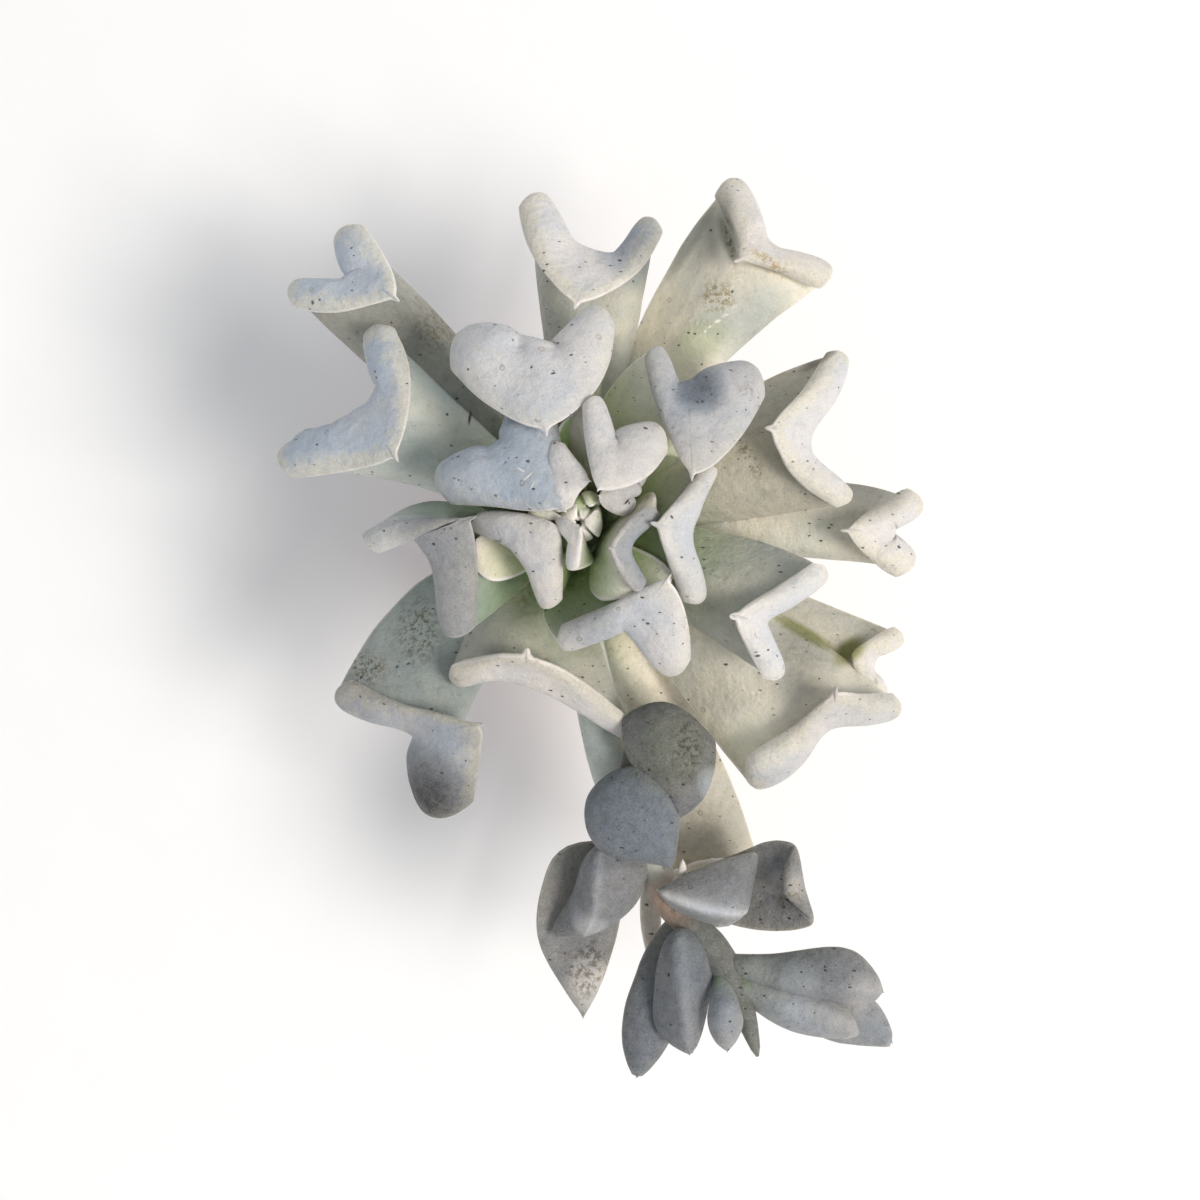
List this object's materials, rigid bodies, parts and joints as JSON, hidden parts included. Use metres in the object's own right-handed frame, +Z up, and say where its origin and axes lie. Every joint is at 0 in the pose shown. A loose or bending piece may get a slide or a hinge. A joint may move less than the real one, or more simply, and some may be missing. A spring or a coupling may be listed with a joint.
{
  "type": "potted succulent",
  "caption": "Potted topsy turvy echeveria: rosette of grey-blue leaves folded and curled back to heart-shaped tips, with a leafy flower stalk, in a plain clay pot",
  "frame": {"origin": "the middle of the pot's foot, on the surface that it stands on", "axes": "+Z up along the stem; +Y toward the top edge of the picture; +X toward its right edge; the flower stalk leans toward -Y"},
  "size_m": [0.1822, 0.2538, 0.157],
  "materials": {
    "clay": "unglazed fired clay, matt, with faint throwing lines and pale lime bloom",
    "earth": "dark gritty potting soil",
    "bark": "woody succulent stem, tan and matt, ringed with leaf scars",
    "young_leaf": "pale green young leaf under a thin powdery bloom",
    "bloom_stalk": "grey-lavender fleshy stalk and small leaves under a powdery bloom, pink toward the tip",
    "farina": "fleshy leaf under a powdery blue-grey bloom, green toward the root, pink-cream along the margin"
  },
  "bodies": {
    "root": {"pot": "clay", "soil": "earth", "stem": "bark", "heart_bud": "young_leaf", "flower_stalk": "bloom_stalk", "inner_leaf_01": "farina", "inner_leaf_02": "farina", "inner_leaf_03": "farina", "inner_leaf_04": "farina", "inner_leaf_05": "farina", "middle_leaf_01": "farina", "middle_leaf_02": "farina", "middle_leaf_03": "farina", "middle_leaf_04": "farina", "middle_leaf_05": "farina", "middle_leaf_06": "farina", "middle_leaf_07": "farina", "middle_leaf_08": "farina", "outer_leaf_01": "farina", "outer_leaf_02": "farina", "outer_leaf_03": "farina", "outer_leaf_04": "farina", "outer_leaf_05": "farina", "outer_leaf_06": "farina", "outer_leaf_07": "farina", "outer_leaf_08": "farina", "outer_leaf_09": "farina", "outer_leaf_10": "farina", "outer_leaf_11": "farina"}
  },
  "joints": []
}
